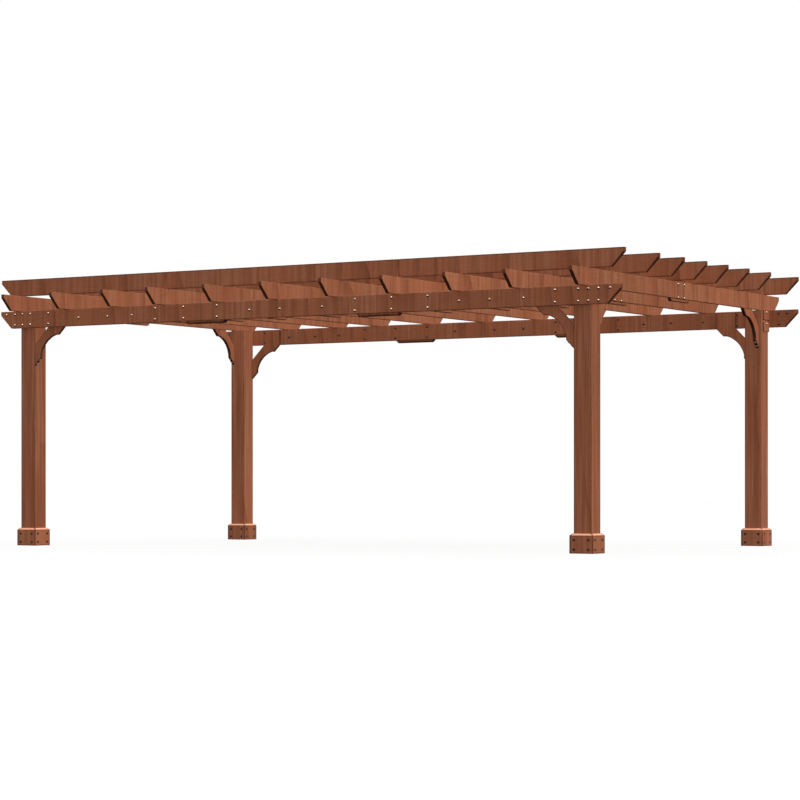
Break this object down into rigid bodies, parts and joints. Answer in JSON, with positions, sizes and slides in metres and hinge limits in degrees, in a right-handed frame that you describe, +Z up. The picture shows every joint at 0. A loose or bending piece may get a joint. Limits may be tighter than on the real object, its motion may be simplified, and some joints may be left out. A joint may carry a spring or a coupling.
{
  "type": "pergola",
  "caption": "Free-standing timber pergola: posts with boxed bases and curved braces carry two long beams, notched rafters and top purlins, all with angled ends.",
  "frame": {"origin": "floor level under the middle of the roof boards", "axes": "+X along the beams and purlins, +Y towards the back, +Z up"},
  "size_m": [6.088, 3.848, 2.314],
  "materials": {
    "posts": "red-brown stained softwood, matt",
    "bases": "red-brown stained softwood, matt",
    "beams": "red-brown stained softwood, matt",
    "braces": "red-brown stained softwood, matt",
    "plates": "red-brown stained softwood, matt",
    "rafters": "red-brown stained softwood, matt",
    "purlins": "red-brown stained softwood, matt"
  },
  "bodies": {
    "root": {"post_fl": "posts", "post_fr": "posts", "post_bl": "posts", "post_br": "posts", "base_fl": "bases", "base_fr": "bases", "base_bl": "bases", "base_br": "bases", "cleats_bl": "braces", "cleats_br": "braces", "brace_x_fl": "braces", "brace_x_fr": "braces", "brace_x_bl": "braces", "brace_x_br": "braces", "brace_y_fl": "braces", "brace_y_fr": "braces", "brace_y_bl": "braces", "brace_y_br": "braces", "beam_front_l": "beams", "beam_front_m": "beams", "beam_front_r": "beams", "beam_back_l": "beams", "beam_back_m": "beams", "beam_back_r": "beams", "plate_front_l": "plates", "plate_front_r": "plates", "plate_back_l": "plates", "plate_back_r": "plates", "rafter_01": "rafters", "rafter_02": "rafters", "rafter_03": "rafters", "rafter_04": "rafters", "rafter_05": "rafters", "rafter_06": "rafters", "rafter_07": "rafters", "rafter_08": "rafters", "rafter_09": "rafters", "rafter_10": "rafters", "rafter_11": "rafters", "purlin_1": "purlins", "purlin_2": "purlins", "purlin_3": "purlins", "purlin_4": "purlins", "purlin_5": "purlins", "purlin_6": "purlins", "purlin_7": "purlins", "purlin_8": "purlins"}
  },
  "joints": []
}
